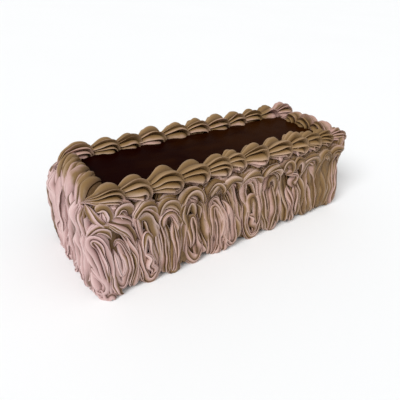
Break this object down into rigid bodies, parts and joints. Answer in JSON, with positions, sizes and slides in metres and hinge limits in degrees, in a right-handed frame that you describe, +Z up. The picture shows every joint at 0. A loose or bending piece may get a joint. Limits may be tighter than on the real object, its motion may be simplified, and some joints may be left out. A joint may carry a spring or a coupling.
{
  "type": "chocolate cake",
  "caption": "Rectangular iced chocolate cake: solid sponge block, dark glossy glaze on top, standing piped cream swirls round the sides and a piped shell border.",
  "frame": {"origin": "centre of the underside, on the surface that the cake rests on", "axes": "+X along the length towards the right-hand end, -Y out of the front, +Z up"},
  "size_m": [0.3084, 0.1224, 0.0992],
  "materials": {
    "sponge": "dark, open-crumbed chocolate sponge",
    "glaze": "set dark chocolate glaze, softly glossy",
    "cream": "whipped chocolate cream, satin, marbled from mauve-pink to olive-brown"
  },
  "bodies": {
    "root": {"sponge": "sponge", "glaze": "glaze", "swirl_front_01": "cream", "swirl_front_02": "cream", "swirl_front_03": "cream", "swirl_front_04": "cream", "swirl_front_05": "cream", "swirl_front_06": "cream", "swirl_front_07": "cream", "swirl_front_08": "cream", "swirl_front_09": "cream", "swirl_front_10": "cream", "swirl_front_11": "cream", "swirl_right_01": "cream", "swirl_right_02": "cream", "swirl_right_03": "cream", "swirl_right_04": "cream", "swirl_back_01": "cream", "swirl_back_02": "cream", "swirl_back_03": "cream", "swirl_back_04": "cream", "swirl_back_05": "cream", "swirl_back_06": "cream", "swirl_back_07": "cream", "swirl_back_08": "cream", "swirl_back_09": "cream", "swirl_back_10": "cream", "swirl_left_01": "cream", "swirl_left_02": "cream", "swirl_left_03": "cream", "swirl_left_04": "cream", "shell_front_01": "cream", "shell_front_02": "cream", "shell_front_03": "cream", "shell_front_04": "cream", "shell_front_05": "cream", "shell_front_06": "cream", "shell_front_07": "cream", "shell_front_08": "cream", "shell_front_09": "cream", "shell_front_10": "cream", "shell_front_11": "cream", "shell_front_12": "cream", "shell_right_01": "cream", "shell_right_02": "cream", "shell_right_03": "cream", "shell_back_01": "cream", "shell_back_02": "cream", "shell_back_03": "cream", "shell_back_04": "cream", "shell_back_05": "cream", "shell_back_06": "cream", "shell_back_07": "cream", "shell_back_08": "cream", "shell_back_09": "cream", "shell_back_10": "cream", "shell_back_11": "cream", "shell_left_01": "cream", "shell_left_02": "cream", "shell_left_03": "cream"}
  },
  "joints": []
}
